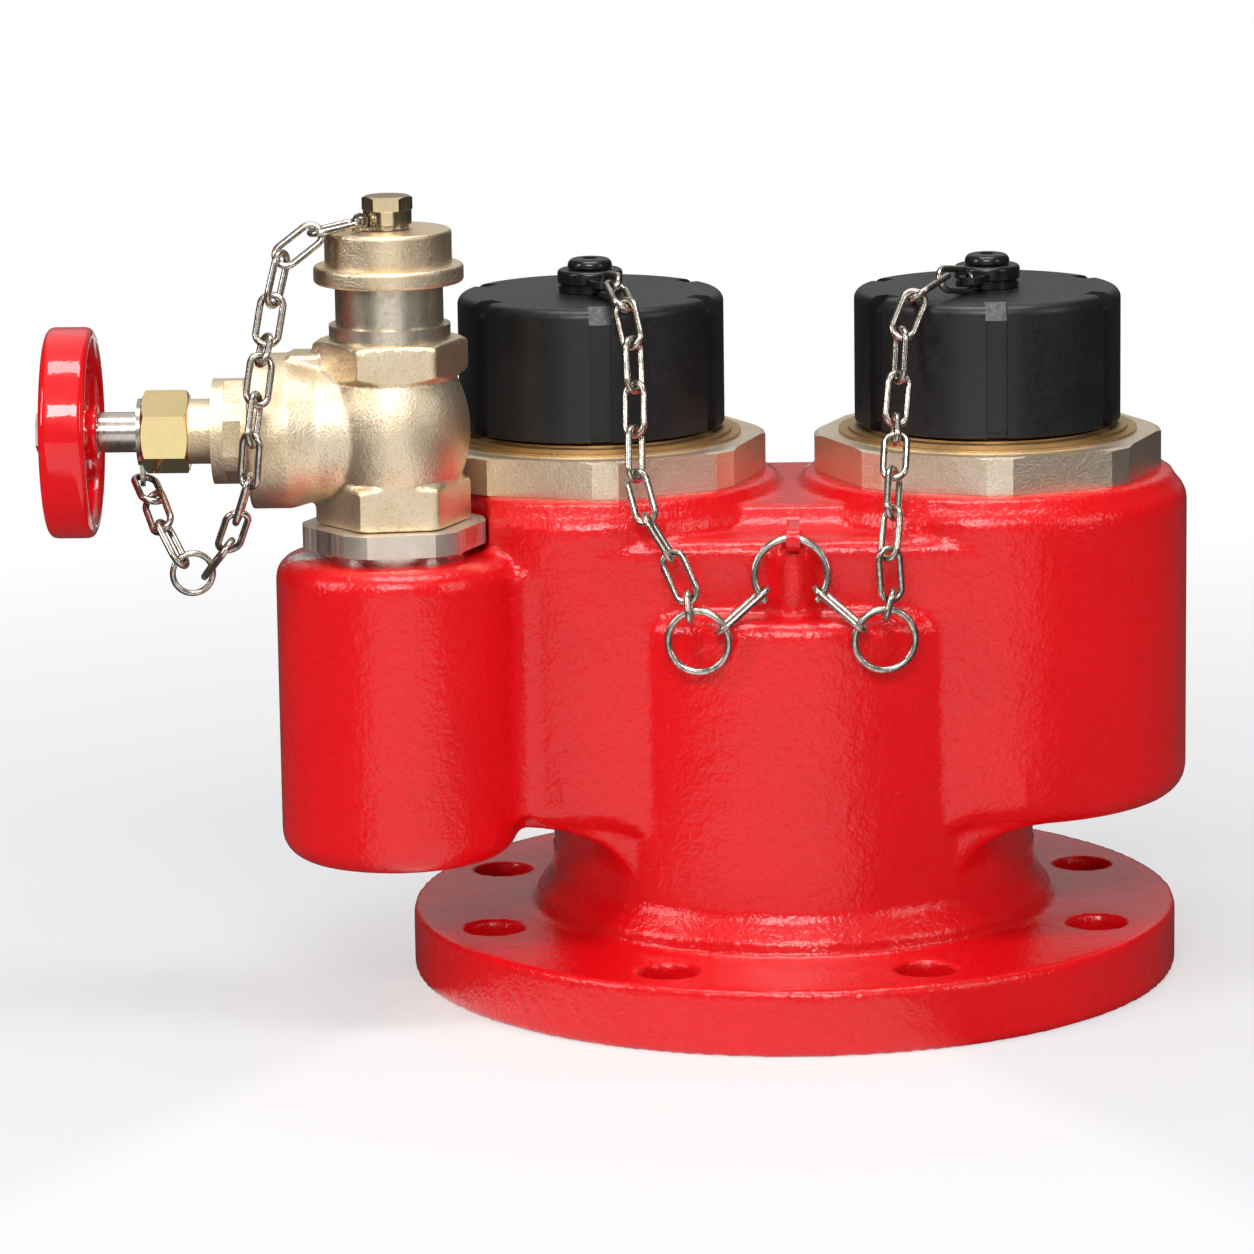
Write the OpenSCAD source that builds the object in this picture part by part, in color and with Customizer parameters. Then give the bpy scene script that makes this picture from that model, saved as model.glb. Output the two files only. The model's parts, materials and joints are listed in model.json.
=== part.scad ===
// Two-way fire department connection (breeching inlet) standing on its riser flange.
// Red cast body with two capped 65 mm inlets, a spring check valve under each inlet
// and a brass drain valve with a capped outlet on the side boss.
// Origin: centre of the flange's lower face. +Z up, +X along the row of inlets, front is -Y.

/* [Flange and neck] */
// Outside diameter of the flange
flange_d = 285; // [260:1:300]
// Thickness of the flange
flange_t = 24; // [20:1:28]
// Pitch circle of the bolt holes
bolt_circle_d = 240; // [220:1:244]
// Diameter of a bolt hole
bolt_hole_d = 22; // [18:1:26]
// Outside radius of the neck above the flange
neck_r = 90; // [86:1:94]
// Radius of the water way through the flange
bore_r = 75; // [70:1:78]
// Height of the neck's rounded front shoulder
shoulder_z = 146; // [138:1:150]

/* [Inlet chamber] */
// Distance of each inlet from the middle
inlet_x = 73; // [72:0.5:76]
// Outside radius of the chamber round each inlet
chamber_r = 73.5; // [72:0.5:75]
// Underside of the chamber
chamber_bottom = 65; // [60:1:70]
// Top of the chamber's wall between the inlets
wall_top = 173; // [170:1:175]
// Top of the round head under each inlet
head_top = 184; // [182:1:186]
// Wall thickness of the casting
wall = 10; // [8:1:11]

/* [Drain boss] */
// Drain axis, sideways
drain_x = -143.5; // [-145:0.5:-142]
// Drain axis, front to back
drain_y = -62; // [-64:0.5:-61]
// Radius of the drain boss
boss_r = 43; // [41:1:44]
// Underside of the drain boss
boss_bottom = 57; // [54:1:60]
// Top of the drain boss
boss_top = 168; // [166:1:169]

/* [Inlet caps] */
// Radius of a cap
cap_r = 49; // [47:0.5:50]
// Lower edge of a cap
cap_bottom = 204.5; // [204:0.5:206]
// Flat top of a cap
cap_top = 253.5; // [252:0.5:256]
// Width of a grip slot
slot_w = 8; // [6:0.5:10]
// Depth of a grip slot
slot_d = 2.5; // [2:0.25:3]
// Turn of the left inlet's octagon and cap
left_turn = 5.3; // [0:0.1:10]
// Turn of the right inlet's octagon and cap
right_turn = 1.5; // [0:0.1:10]

/* [Drain valve] */
// Height of the valve's stem
stem_z = 213; // [212:0.5:214]
// Radius of the handwheel
wheel_r = 38; // [34:1:39]
// Number of spokes in the handwheel
wheel_spokes = 5; // [3:1:6]

/* [Chains] */
// Diameter of the chain's wire
wire_d = 2.5; // [2:0.1:2.6]
// Outside length of a link
link_l = 21.5; // [21:0.1:22]
// Outside width of a link
link_w = 10.6; // [10:0.1:11]
// Outside width of a short link
short_w = 9; // [8.5:0.1:9.5]

/* [Hidden] */
$fn = 64;

RED = [0.80, 0.03, 0.04];
CAST_BRASS = [0.74, 0.60, 0.38];
BRASS = [0.83, 0.66, 0.34];
BLACK = [0.06, 0.06, 0.07];
RUBBER = [0.12, 0.12, 0.12];
STEEL = [0.72, 0.70, 0.67];
FIBRE = [0.45, 0.20, 0.15];

sides = [-1, 1];
edge_round = 10;
head_round = 9;
pad_top = 186.5;
pad_r = 66;
gasket_t = 2;
ledge_round = 6;
saddle_top = 181;
cove_r = 11.5;
fillet_r = 10;
lug_z = 175;
lug_y = -82;
spigot_r = 40.8;
seat_z = 158;
octagon_top = 200.3;
octagon_r = 64;
octagon_half = 18.2;
thread_r = 37.5;
thread_top = 242.7;
inlet_bore_r = 31.5;
seat_r = 34;
ring_wire = 2.8;
ring_x = -0.8;
joining_l = 26.5;
short_pitch = 10;
collar_eye_r = 18;
swivel_turn = -139.6;
swivel_eye_r = 12.2;
swivel_eye_z = 289.2;
anchor_eye = [3.9, -17];
rim_w = 16.5;
rim_t = 6.5;
rim_round = 2.8;
rim_x = drain_x - 123.5;

// ---------------------------------------------------------------- general shapes

// Half section of a round body with rounded lower and upper edges
module rounded_half(r, z0, z1, lower, upper) {
    translate([0, z0 + lower]) square([r, z1 - z0 - lower - upper]);
    translate([0, z0]) square([r - lower, lower]);
    translate([0, z1 - upper]) square([r - upper, upper]);
    translate([r - lower, z0 + lower]) quarter(lower, -90);
    translate([r - upper, z1 - upper]) quarter(upper, 0);
}

// Quarter disc that starts at an angle
module quarter(r, start) {
    rotate(start) intersection() {
        circle(r);
        square(r + 1);
    }
}

// Solid of revolution about Z from a rounded half section
module rounded_cylinder(r, z0, z1, lower, upper) {
    rotate_extrude() rounded_half(r, z0, z1, lower, upper);
}

// Long body with round ends, the outline of two inlets side by side
module long_round(r, half, z0, z1, lower, upper) {
    for (s = sides)
        translate([s * half, 0, 0]) rotate(-90 * s)
            rotate_extrude(angle = 180) rounded_half(r, z0, z1, lower, upper);
    translate([-half, 0, 0]) rotate([90, 0, 90]) linear_extrude(2 * half) {
        rounded_half(r, z0, z1, lower, upper);
        mirror([1, 0]) rounded_half(r, z0, z1, lower, upper);
    }
}

// Cylinder along X from x0 to x1
module along_x(r, x0, x1, fn = 64) {
    translate([x0, 0, 0]) rotate([0, 90, 0]) cylinder(r = r, h = x1 - x0, $fn = fn);
}

// Straight bored cylinder
module tube(ro, ri, z0, z1) {
    translate([0, 0, z0]) difference() {
        cylinder(r = ro, h = z1 - z0);
        translate([0, 0, -1]) cylinder(r = ri, h = z1 - z0 + 2);
    }
}

// Hexagon with both ends turned to a bevel
module bevelled_hex(r, z0, z1, bevel) {
    intersection() {
        translate([0, 0, z0]) cylinder(r = r, h = z1 - z0, $fn = 6);
        bevel_blank(r + 0.2, z0, z1, bevel);
    }
}

// Turned blank with a bevel at both ends
module bevel_blank(r, z0, z1, bevel) {
    rotate_extrude() polygon([
        [0, z0], [r - 2 * bevel, z0], [r, z0 + bevel], [r, z1 - bevel], [r - 2 * bevel, z1], [0, z1]
    ]);
}

// ---------------------------------------------------------------- body casting

// Where a fillet cylinder sits between two round walls, on one side of their centre line
function fillet_centre(c1, r1, c2, r2, side) =
    let (d = norm(c2 - c1))
    let (a = (r1 * r1 - r2 * r2 + d * d) / (2 * d))
    let (h = sqrt(r1 * r1 - a * a))
    let (u = (c2 - c1) / d)
    c1 + a * u + side * h * [u[1], -u[0]];

// Flange with its raised foot ring and the neck up to its rounded front shoulder
module flange_and_neck() {
    rounded_cylinder(flange_d / 2, 0, flange_t, 0.8, 1.5);
    rounded_cylinder(neck_r, flange_t - 4, shoulder_z, 1, 7);
    rotate_extrude() {
        translate([neck_r - 2, flange_t - 2]) square([8.5, 8]);
        difference() {
            translate([neck_r - 2, flange_t + 5]) square([6, 15]);
            translate([neck_r + 13.5, flange_t + 19]) circle(14);
        }
    }
}

// Concave flare that carries the chamber's underside down to the neck
module underside_flare() {
    intersection() {
        rotate_extrude() difference() {
            translate([neck_r - 3, chamber_bottom - 22]) square([25, 24]);
            translate([neck_r + 22, chamber_bottom - 22]) circle(22.5);
        }
        long_round(chamber_r - 4.5, inlet_x, chamber_bottom - 30, chamber_bottom + 10, 0.5, 0.5);
    }
}

// Round head with two turned pads under one inlet's octagon
module inlet_head(s) {
    translate([s * inlet_x, 0, 0]) rotate(90 * s)
        rotate_extrude(angle = 180) rounded_half(chamber_r, wall_top - 20, head_top, 1, head_round);
    translate([s * inlet_x, 0, 0]) {
        translate([0, 0, head_top - 4]) cylinder(r = pad_r + 3, h = 5.2);
        translate([0, 0, head_top - 4]) cylinder(r = pad_r, h = pad_top - head_top + 4);
    }
}

// Outer half of the chamber's end, full height with rounded edges
module chamber_end(s) {
    translate([s * inlet_x, 0, 0]) rotate(-90 * s)
        rotate_extrude(angle = 180) rounded_half(chamber_r, chamber_bottom, head_top, edge_round, head_round);
}

// Straight middle of the chamber, lower than its ends
module chamber_middle() {
    translate([-inlet_x, 0, 0]) rotate([90, 0, 90]) linear_extrude(2 * inlet_x) {
        rounded_half(chamber_r, chamber_bottom, wall_top, edge_round, ledge_round);
        mirror([1, 0]) rounded_half(chamber_r, chamber_bottom, wall_top, edge_round, ledge_round);
    }
}

// Saddle between the two heads, with a cove along its front and back
module saddle() {
    difference() {
        translate([-45, -60, wall_top - 15]) cube([90, 120, saddle_top - wall_top + 15]);
        for (s = sides)
            translate([-60, s * 58.5, wall_top + cove_r - 0.3]) rotate([0, 90, 0]) cylinder(r = cove_r, h = 120);
    }
}

// Rib and eye that the chains' centre ring hangs from
module chain_lug() {
    translate([0, -71.5, shoulder_z - 5]) cylinder(r = 8.5, h = wall_top - shoulder_z - 1);
    translate([0, -71.5, wall_top - 6]) sphere(r = 8.5);
    translate([-2.5, lug_y, lug_z]) difference() {
        union() {
            rotate([0, 90, 0]) cylinder(r = 4.2, h = 5);
            translate([0, 0, -4.2]) cube([5, 18, 8.4]);
        }
        translate([-1, 0, 0]) rotate([0, 90, 0]) cylinder(r = 2.1, h = 7);
    }
}

// Closed drain boss with fillets to the chamber's left end
module drain_boss() {
    boss = [drain_x, drain_y];
    end = [-inlet_x, 0];
    translate([drain_x, drain_y, 0]) rounded_cylinder(boss_r, boss_bottom, boss_top, edge_round, 8);
    for (side = sides) {
        f = fillet_centre(boss, boss_r + fillet_r, end, chamber_r + fillet_r, side);
        on_boss = boss + (f - boss) * (boss_r - 0.4) / (boss_r + fillet_r);
        on_end = end + (f - end) * (chamber_r - 0.4) / (chamber_r + fillet_r);
        translate([0, 0, chamber_bottom + 6]) difference() {
            linear_extrude(boss_top - chamber_bottom - 13)
                polygon([on_boss, on_end, (boss + end) / 2]);
            translate([f[0], f[1], -1]) cylinder(r = fillet_r - 0.1, h = boss_top);
        }
    }
}

// Water ways inside the casting
module casting_hollows() {
    translate([0, 0, -1]) cylinder(r = bore_r, h = chamber_bottom + wall + 3);
    long_round(chamber_r - wall, inlet_x, chamber_bottom + wall, wall_top - wall, 4, 4);
    for (s = sides) translate([s * inlet_x, 0, 0]) {
        translate([0, 0, wall_top - wall - 2]) cylinder(r = spigot_r + 0.1, h = 40);
        translate([0, 0, pad_top - gasket_t]) cylinder(r = 52.2, h = 10);
    }
    translate([drain_x, drain_y, boss_bottom + wall])
        cylinder(r = boss_r - wall, h = boss_top - boss_bottom - 2 * wall);
    translate([drain_x, drain_y, boss_top - 40]) cylinder(r = 20.4, h = 60);
    translate([drain_x, drain_y, chamber_bottom + wall + 9])
        rotate(atan2(-drain_y, -inlet_x - drain_x)) rotate([0, 90, 0]) cylinder(r = 9, h = 70);
}

module body_casting() {
    color(RED) difference() {
        union() {
            flange_and_neck();
            chamber_middle();
            for (s = sides) {
                chamber_end(s);
                inlet_head(s);
            }
            underside_flare();
            saddle();
            chain_lug();
            drain_boss();
        }
        casting_hollows();
        translate([drain_x, drain_y, boss_top]) cylinder(r = seat_r, h = 28);
        for (i = [0:7])
            rotate(22.5 + 45 * i) translate([bolt_circle_d / 2, 0, -1]) cylinder(d = bolt_hole_d, h = flange_t + 2);
    }
}

// ---------------------------------------------------------------- inlets

module at_inlet(s) {
    translate([s * inlet_x, 0, 0]) children();
}

// Turn of one inlet's octagon and cap
function turn_of(s) = s < 0 ? left_turn : right_turn;

// Outline of an octagon whose corners are cut off flat
function cut_octagon(r, half) = [
    for (k = [0:7], e = sides) [r * sin(22.5 + 45 * k + e * half), -r * cos(22.5 + 45 * k + e * half)]
];

// Brass inlet: octagon flange, male hose thread above, spigot and valve seat below
module inlet_adaptor(s) {
    color(CAST_BRASS) at_inlet(s) difference() {
        union() {
            intersection() {
                translate([0, 0, pad_top + 0.05]) rotate(turn_of(s))
                    linear_extrude(octagon_top - pad_top - 0.05) polygon(cut_octagon(octagon_r, octagon_half));
                bevel_blank(octagon_r + 0.4, pad_top - 2, octagon_top, 1);
            }
            translate([0, 0, octagon_top - 1]) cylinder(r = 55, h = 2.2);
            translate([0, 0, octagon_top - 1]) cylinder(r = 51.5, h = 3.4);
            translate([0, 0, octagon_top - 1]) cylinder(r = 46, h = 4);
            translate([0, 0, octagon_top - 1]) cylinder(r = thread_r, h = thread_top - octagon_top + 1);
            translate([0, 0, seat_z]) cylinder(r = spigot_r, h = octagon_top - seat_z - 1);
        }
        translate([0, 0, seat_z - 1]) cylinder(r = inlet_bore_r, h = thread_top - seat_z + 2);
    }
    color(CAST_BRASS) at_inlet(s) spider();
}

// Three arms and a hub that guide the check valve's stem
module spider() {
    difference() {
        union() {
            translate([0, 0, 168]) cylinder(r = 8, h = 18);
            for (i = [0:2]) rotate(120 * i + 30) translate([0, -3, 171]) cube([33, 6, 11]);
        }
        translate([0, 0, 160]) cylinder(r = 4.06, h = 40);
    }
}

module adaptor_gasket(s) {
    color(FIBRE) at_inlet(s) tube(52, spigot_r + 0.3, pad_top - gasket_t, pad_top);
}

// Black moulded cap with six grip slots
module inlet_cap(s) {
    color(BLACK) at_inlet(s) rotate(turn_of(s)) difference() {
        rounded_cylinder(cap_r, cap_bottom, cap_top, 1, 4);
        translate([0, 0, cap_bottom - 1]) cylinder(r = thread_r + 0.5, h = 42.5);
        for (i = [0:5]) rotate(60 * i) grip_slot();
        translate([0, 0, cap_top - 12]) cylinder(r = 4.25, h = 14);
    }
}

// One slot down a cap's side, sloped over the shoulder and undercut at the foot
module grip_slot() {
    floor_y = slot_d - cap_r;
    rotate([90, 0, 90]) translate([0, 0, -slot_w / 2]) linear_extrude(slot_w) polygon([
        [-cap_r - 5, cap_bottom - 1], [floor_y + 1.5, cap_bottom - 1], [floor_y + 1.5, cap_bottom + 2.5],
        [floor_y, cap_bottom + 2.5], [floor_y, cap_top - 6], [floor_y + 8, cap_top + 2],
        [-cap_r - 5, cap_top + 2]
    ]);
}

module cap_washer(s) {
    color(RUBBER) at_inlet(s) tube(thread_r + 0.2, 26, thread_top + 0.3, cap_bottom + 41.45);
}

// Swivel collar on top of a cap, with a flat tongue and the hole that the chain hooks into
module cap_collar(s) {
    color(BLACK) at_inlet(s) difference() {
        union() {
            translate([0, 0, cap_top + 0.3]) cylinder(r = 11.6, h = 2);
            translate([0, 0, cap_top + 2.2]) cylinder(r = 10.9, h = 1);
            rounded_cylinder(12, cap_top + 3.1, cap_top + 8.4, 0.8, 1.5);
            rotate(collar_turn(s)) translate([0, 0, cap_top + 3.7]) {
                translate([-4.6, -collar_eye_r, 0]) cube([9.2, collar_eye_r - 8, 2.4]);
                translate([0, -collar_eye_r, 0]) cylinder(r = 4.6, h = 2.4);
            }
        }
        translate([0, 0, cap_top - 1]) cylinder(r = 4.35, h = 12);
        rotate(collar_turn(s)) translate([0, -collar_eye_r, cap_top]) cylinder(r = 2.3, h = 10);
    }
}

// Direction of a collar's eye, turned from the front towards the middle
function collar_turn(s) = s < 0 ? 16 : -21;

// Domed socket screw that holds the collar
module cap_screw(s) {
    color(BLACK) at_inlet(s) difference() {
        union() {
            translate([0, 0, cap_top - 10]) cylinder(r = 4.25, h = 19);
            rounded_cylinder(8.2, cap_top + 8.7, cap_top + 12.3, 0.6, 2.6);
        }
        translate([0, 0, cap_top + 10]) cylinder(r = 3, h = 5, $fn = 6);
    }
}

// ---------------------------------------------------------------- check valves

// Disc and stem of a check valve, closed against the inlet's seat
module clack(s) {
    color(BRASS) at_inlet(s) {
        translate([0, 0, seat_z - 8]) cylinder(r = 38, h = 4);
        translate([0, 0, seat_z - 4.1]) cylinder(r = 22.8, h = 3.9);
        translate([0, 0, seat_z - 1]) cylinder(r = 7, h = 4);
        translate([0, 0, seat_z - 8]) cylinder(r = 4, h = 58);
    }
}

module clack_seal(s) {
    color(RUBBER) at_inlet(s) tube(38, 23, seat_z - 4, seat_z - 0.3);
}

// Coil that pulls the disc up, a round wire swept along a helix
module clack_spring(s) {
    z0 = 187.6;
    z1 = 204.4;
    turns = 5;
    steps = 12;
    n = turns * steps;
    sides_n = 6;
    r = 6.4;
    points = [
        for (i = [0:n], k = [0:sides_n - 1])
        let (a = 360 * i / steps, b = 360 * k / sides_n, q = r + 0.9 * cos(b))
        [q * cos(a), q * sin(a), z0 + (z1 - z0) * i / n + 0.9 * sin(b)]
    ];
    walls = [
        for (i = [0:n - 1], k = [0:sides_n - 1])
        let (a = i * sides_n + k, b = i * sides_n + (k + 1) % sides_n)
        [a, a + sides_n, b + sides_n, b]
    ];
    first = [for (k = [0:sides_n - 1]) k];
    last = [for (k = [0:sides_n - 1]) n * sides_n + sides_n - 1 - k];
    color(STEEL) at_inlet(s) polyhedron(points, concat([first], walls, [last]));
}

// Nut that holds the spring on the stem
module clack_nut(s) {
    color(BRASS) at_inlet(s) difference() {
        union() {
            translate([0, 0, 205.6]) cylinder(r = 9.5, h = 1.6);
            translate([0, 0, 207]) cylinder(r = 7.5, h = 6, $fn = 6);
        }
        translate([0, 0, 204]) cylinder(r = 4.02, h = 12);
    }
}

// ---------------------------------------------------------------- drain valve

module at_drain() {
    translate([drain_x, drain_y, 0]) children();
}

module on_stem() {
    translate([0, drain_y, stem_z]) children();
}

// Thin nut that locks the valve on the boss
module drain_locknut() {
    color(BRASS) at_drain() rotate(8) difference() {
        intersection() {
            bevelled_hex(35.4, boss_top + 3.2, boss_top + 11.4, 1.4);
            translate([0, 0, boss_top]) cylinder(r = 33, h = 20);
        }
        translate([0, 0, boss_top]) cylinder(r = 20.5, h = 20);
    }
}

module drain_gasket() {
    color(STEEL) at_drain() tube(27, 20.5, boss_top, boss_top + 3.2);
}

// Cast globe body: spigot, two hexagons, round belly and the side barrel for the bonnet
module drain_valve_body() {
    color(CAST_BRASS) difference() {
        union() {
            at_drain() {
                translate([0, 0, boss_top - 30]) cylinder(r = 20.3, h = 45);
                rotate(8) bevelled_hex(28.3, boss_top + 11.6, boss_top + 27, 1);
                belly();
                rotate(8) bevelled_hex(28.3, stem_z + 20, stem_z + 33.5, 1.8);
            }
            on_stem() {
                along_x(25, drain_x - 34, drain_x);
                along_x(28, drain_x - 50.5, drain_x - 36);
                translate([drain_x - 36.1, 0, 0]) rotate([0, 90, 0]) cylinder(r1 = 28, r2 = 24, h = 14);
            }
            translate([drain_x - 36, drain_y - 9, stem_z + 20]) cube([30, 18, 8.4]);
        }
        valve_ways();
    }
}

// Round belly of the valve
module belly() {
    rotate_extrude() intersection() {
        translate([-14, stem_z]) circle(42.2);
        translate([0, stem_z - 19.6]) square([40, 40.4]);
    }
}

// Passages and the seat inside the valve
module valve_ways() {
    at_drain() {
        translate([0, 0, boss_top - 31]) cylinder(r = 13, h = 60);
        translate([13, 0, boss_top + 22]) cylinder(r = 7.5, h = stem_z - boss_top - 22);
        translate([-9, 0, stem_z]) cylinder(r = 11, h = 22);
        translate([0, 0, stem_z + 19]) cylinder(r = 16.1, h = 20);
    }
    on_stem() {
        along_x(7.5, drain_x - 3, drain_x + 13);
        along_x(15, drain_x - 51, drain_x - 3);
    }
}

// Bonnet screwed into the barrel, with the packing bore and the gland's thread
module drain_bonnet() {
    color(CAST_BRASS) on_stem() difference() {
        union() {
            intersection() {
                along_x(19, drain_x - 64, drain_x - 50.5);
                union() {
                    along_x(20, drain_x - 64, drain_x - 59.5);
                    along_x(20.6, drain_x - 59.6, drain_x - 53, 6);
                    along_x(20, drain_x - 53.1, drain_x - 50);
                }
            }
            along_x(14.9, drain_x - 51, drain_x - 36.5);
            along_x(11.7, drain_x - 84, drain_x - 63);
        }
        along_x(7.35, drain_x - 90, drain_x - 30);
        along_x(10.6, drain_x - 90, drain_x - 72);
    }
}

module gland_packing() {
    color(FIBRE) on_stem() difference() {
        along_x(10.5, drain_x - 84, drain_x - 72.1);
        along_x(7.4, drain_x - 90, drain_x - 70);
    }
}

// Polished nut that presses on the packing
module gland_nut() {
    color(BRASS) on_stem() difference() {
        intersection() {
            along_x(15.2, drain_x - 89.5, drain_x - 72.5, 6);
            translate([drain_x - 89.5, 0, 0]) rotate([0, 90, 0]) bevel_blank(15.3, 0, 17, 1.3);
        }
        along_x(11.8, drain_x - 84.1, drain_x - 70);
        along_x(7.5, drain_x - 95, drain_x - 80);
    }
}

// Thin plate behind the gland nut with the eye for the chain's end
module chain_anchor() {
    color(STEEL) on_stem() difference() {
        union() {
            along_x(12, drain_x - 91.2, drain_x - 89.7);
            translate([drain_x - 91.2, 0.4, anchor_eye[1]]) cube([1.5, 7, 10]);
            translate([0, anchor_eye[0], anchor_eye[1]]) along_x(3.5, drain_x - 91.2, drain_x - 89.7);
        }
        along_x(8, drain_x - 95, drain_x - 85);
        translate([0, anchor_eye[0], anchor_eye[1]]) along_x(1.9, drain_x - 95, drain_x - 85);
    }
}

module drain_stem() {
    color(STEEL) on_stem() {
        along_x(7.3, drain_x - 105, drain_x - 38);
        along_x(5, drain_x - 39, drain_x - 20);
        along_x(4.4, drain_x - 126.5, drain_x - 104);
    }
}

// Red handwheel with a thick rim, arms and hub
module handwheel() {
    color(RED) on_stem() difference() {
        union() {
            translate([rim_x, 0, 0]) rotate([0, 90, 0]) rotate_extrude()
                translate([wheel_r - rim_t, 0]) rim_section(rim_t, rim_w, rim_round);
            along_x(10, rim_x + 3, rim_x + 18);
            for (i = [0:wheel_spokes - 1]) rotate([360 * i / wheel_spokes + 18, 0, 0])
                translate([rim_x + 9.5, 0, 8]) cylinder(r1 = 4.2, r2 = 3.4, h = wheel_r - 11);
        }
        along_x(4.45, rim_x, rim_x + 20);
    }
}

// Rounded section of the handwheel's rim
module rim_section(w, h, r) {
    translate([0, r]) square([w, h - 2 * r]);
    translate([r, 0]) square([w - 2 * r, r]);
    translate([r, h - r]) square([w - 2 * r, r]);
    translate([r, r]) quarter(r, 180);
    translate([w - r, r]) quarter(r, -90);
    translate([w - r, h - r]) quarter(r, 0);
    translate([r, h - r]) quarter(r, 90);
}

module handwheel_nut() {
    color(STEEL) on_stem() difference() {
        union() {
            along_x(8, drain_x - 122.6, drain_x - 121.1);
            along_x(7.2, drain_x - 127.8, drain_x - 122.5, 6);
        }
        along_x(4.42, drain_x - 130, drain_x - 120);
    }
}

// Holder that the stem's end turns in
module disc_holder() {
    color(BRASS) on_stem() difference() {
        union() {
            along_x(12, drain_x - 28.5, drain_x - 11);
            along_x(3.4, drain_x - 12, drain_x - 4);
        }
        along_x(5.06, drain_x - 31, drain_x - 19.7);
    }
}

module disc_seal() {
    color(RUBBER) on_stem() difference() {
        along_x(11.6, drain_x - 11, drain_x - 3.3);
        along_x(3.42, drain_x - 12, drain_x);
    }
}

// Outlet nipple with its shoulder ring and male thread
module outlet_adaptor() {
    color(STEEL) at_drain() difference() {
        union() {
            translate([0, 0, stem_z + 23]) cylinder(r = 16, h = 11);
            translate([0, 0, stem_z + 33.6]) cylinder(r = 21.8, h = 4.9);
            translate([0, 0, stem_z + 38]) cylinder(r = 19.4, h = 28);
        }
        translate([0, 0, stem_z + 20]) cylinder(r = 13, h = 60);
    }
}

module outlet_cap() {
    color(CAST_BRASS) at_drain() difference() {
        union() {
            rounded_cylinder(26.9, stem_z + 53.5, stem_z + 60, 1.5, 1.5);
            rounded_cylinder(22.8, stem_z + 58, stem_z + 72.5, 0.5, 1.6);
            translate([0, 0, stem_z + 72]) cylinder(r = 4, h = 9);
        }
        translate([0, 0, stem_z + 52]) cylinder(r = 19.8, h = 16.2);
    }
}

module outlet_cap_washer() {
    color(RUBBER) at_drain() tube(19.6, 11, stem_z + 66.3, stem_z + 68.2);
}

// Thin swivel plate under the outlet cap's nut, its end bent up into the chain's eye
module outlet_swivel() {
    z0 = stem_z + 72.8;
    color(STEEL) at_drain() difference() {
        union() {
            translate([0, 0, z0]) cylinder(r = 7.8, h = 1.4);
            rotate(swivel_turn) {
                translate([3, -3, z0]) cube([8, 6, 1.4]);
                translate([9.4, -0.7, z0]) cube([swivel_eye_r - 6.3, 1.4, swivel_eye_z - z0]);
                translate([swivel_eye_r, 0.7, swivel_eye_z]) rotate([90, 0, 0]) cylinder(r = 3.1, h = 1.4);
            }
        }
        translate([0, 0, stem_z + 70]) cylinder(r = 4.3, h = 6);
        rotate(swivel_turn) translate([swivel_eye_r, 3, swivel_eye_z]) rotate([90, 0, 0]) cylinder(r = 1.9, h = 6);
    }
}

module outlet_cap_nut() {
    color(BRASS) at_drain() difference() {
        union() {
            translate([0, 0, stem_z + 74.5]) cylinder(r = 8.7, h = 5);
            bevelled_hex(9.1, stem_z + 79, stem_z + 84.5, 0.8);
        }
        translate([0, 0, stem_z + 74]) cylinder(r = 4.02, h = 7.2);
    }
}

// ---------------------------------------------------------------- chains and rings

// One oval link of round wire along X, lying in the XY plane
module link(l = link_l, w = link_w, d = wire_d) {
    r = w / 2 - d / 2;
    h = l / 2 - w / 2;
    for (s = sides) {
        translate([s * h, 0, 0]) rotate(-90 * s) rotate_extrude(angle = 180) translate([r, 0]) circle(d / 2);
        translate([-h, s * r, 0]) rotate([0, 90, 0]) cylinder(r = d / 2, h = 2 * h);
    }
}

// Places a link from p to q, its width turned by roll about that line
module link_between(p, q, roll) {
    t = (q - p) / norm(q - p);
    level = cross(t, [0, -0.8, 0.6]);
    e = level / norm(level);
    w = e * cos(roll) + cross(t, e) * sin(roll);
    n = cross(t, w);
    m = (p + q) / 2;
    multmatrix([
        [t[0], w[0], n[0], m[0]],
        [t[1], w[1], n[1], m[1]],
        [t[2], w[2], n[2], m[2]],
        [0, 0, 0, 1]
    ]) children();
}

// Chain with one link between each pair of joints, a short one where the joints sit close
module chain(joints, rolls, short_l) {
    color(STEEL) for (i = [0:len(rolls) - 1]) {
        long = norm(joints[i + 1] - joints[i]) > short_pitch;
        link_between(joints[i], joints[i + 1], rolls[i]) link(long ? link_l : short_l, long ? link_w : short_w);
    }
}

// Closed ring of round wire
module ring(r, d) {
    rotate_extrude() translate([r, 0]) circle(d / 2);
}

// Side rings hang in front of the neck's shoulder, each turned a little outwards
module side_ring(s) {
    color(STEEL) translate([ring_x + s * 33.3, -89.5, 139.5]) rotate([90, 0, s * 10]) ring(11.05, ring_wire);
}

// Open ring through the casting's eye, its two ends holding the joining links
module centre_ring() {
    end = 46;
    color(STEEL) translate([ring_x, -83.8, 162.2]) rotate([82, 0, 0]) rotate(-end)
        rotate_extrude(angle = 180 + 2 * end) translate([13.1, 0]) circle(ring_wire / 2);
}

// Long link from the centre ring's end to a side ring
module joining_link(s) {
    color(STEEL) translate([ring_x, 0, 0]) mirror([s > 0 ? 0 : 1, 0, 0])
        link_between([9.5, -84.5, 157], [25.5, -91.5, 144], 120) link(joining_l);
}

module drain_ring() {
    color(STEEL) translate([-213.8, -92, 166.8]) rotate([90, 0, 12]) ring(7.2, 2.2);
}

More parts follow.
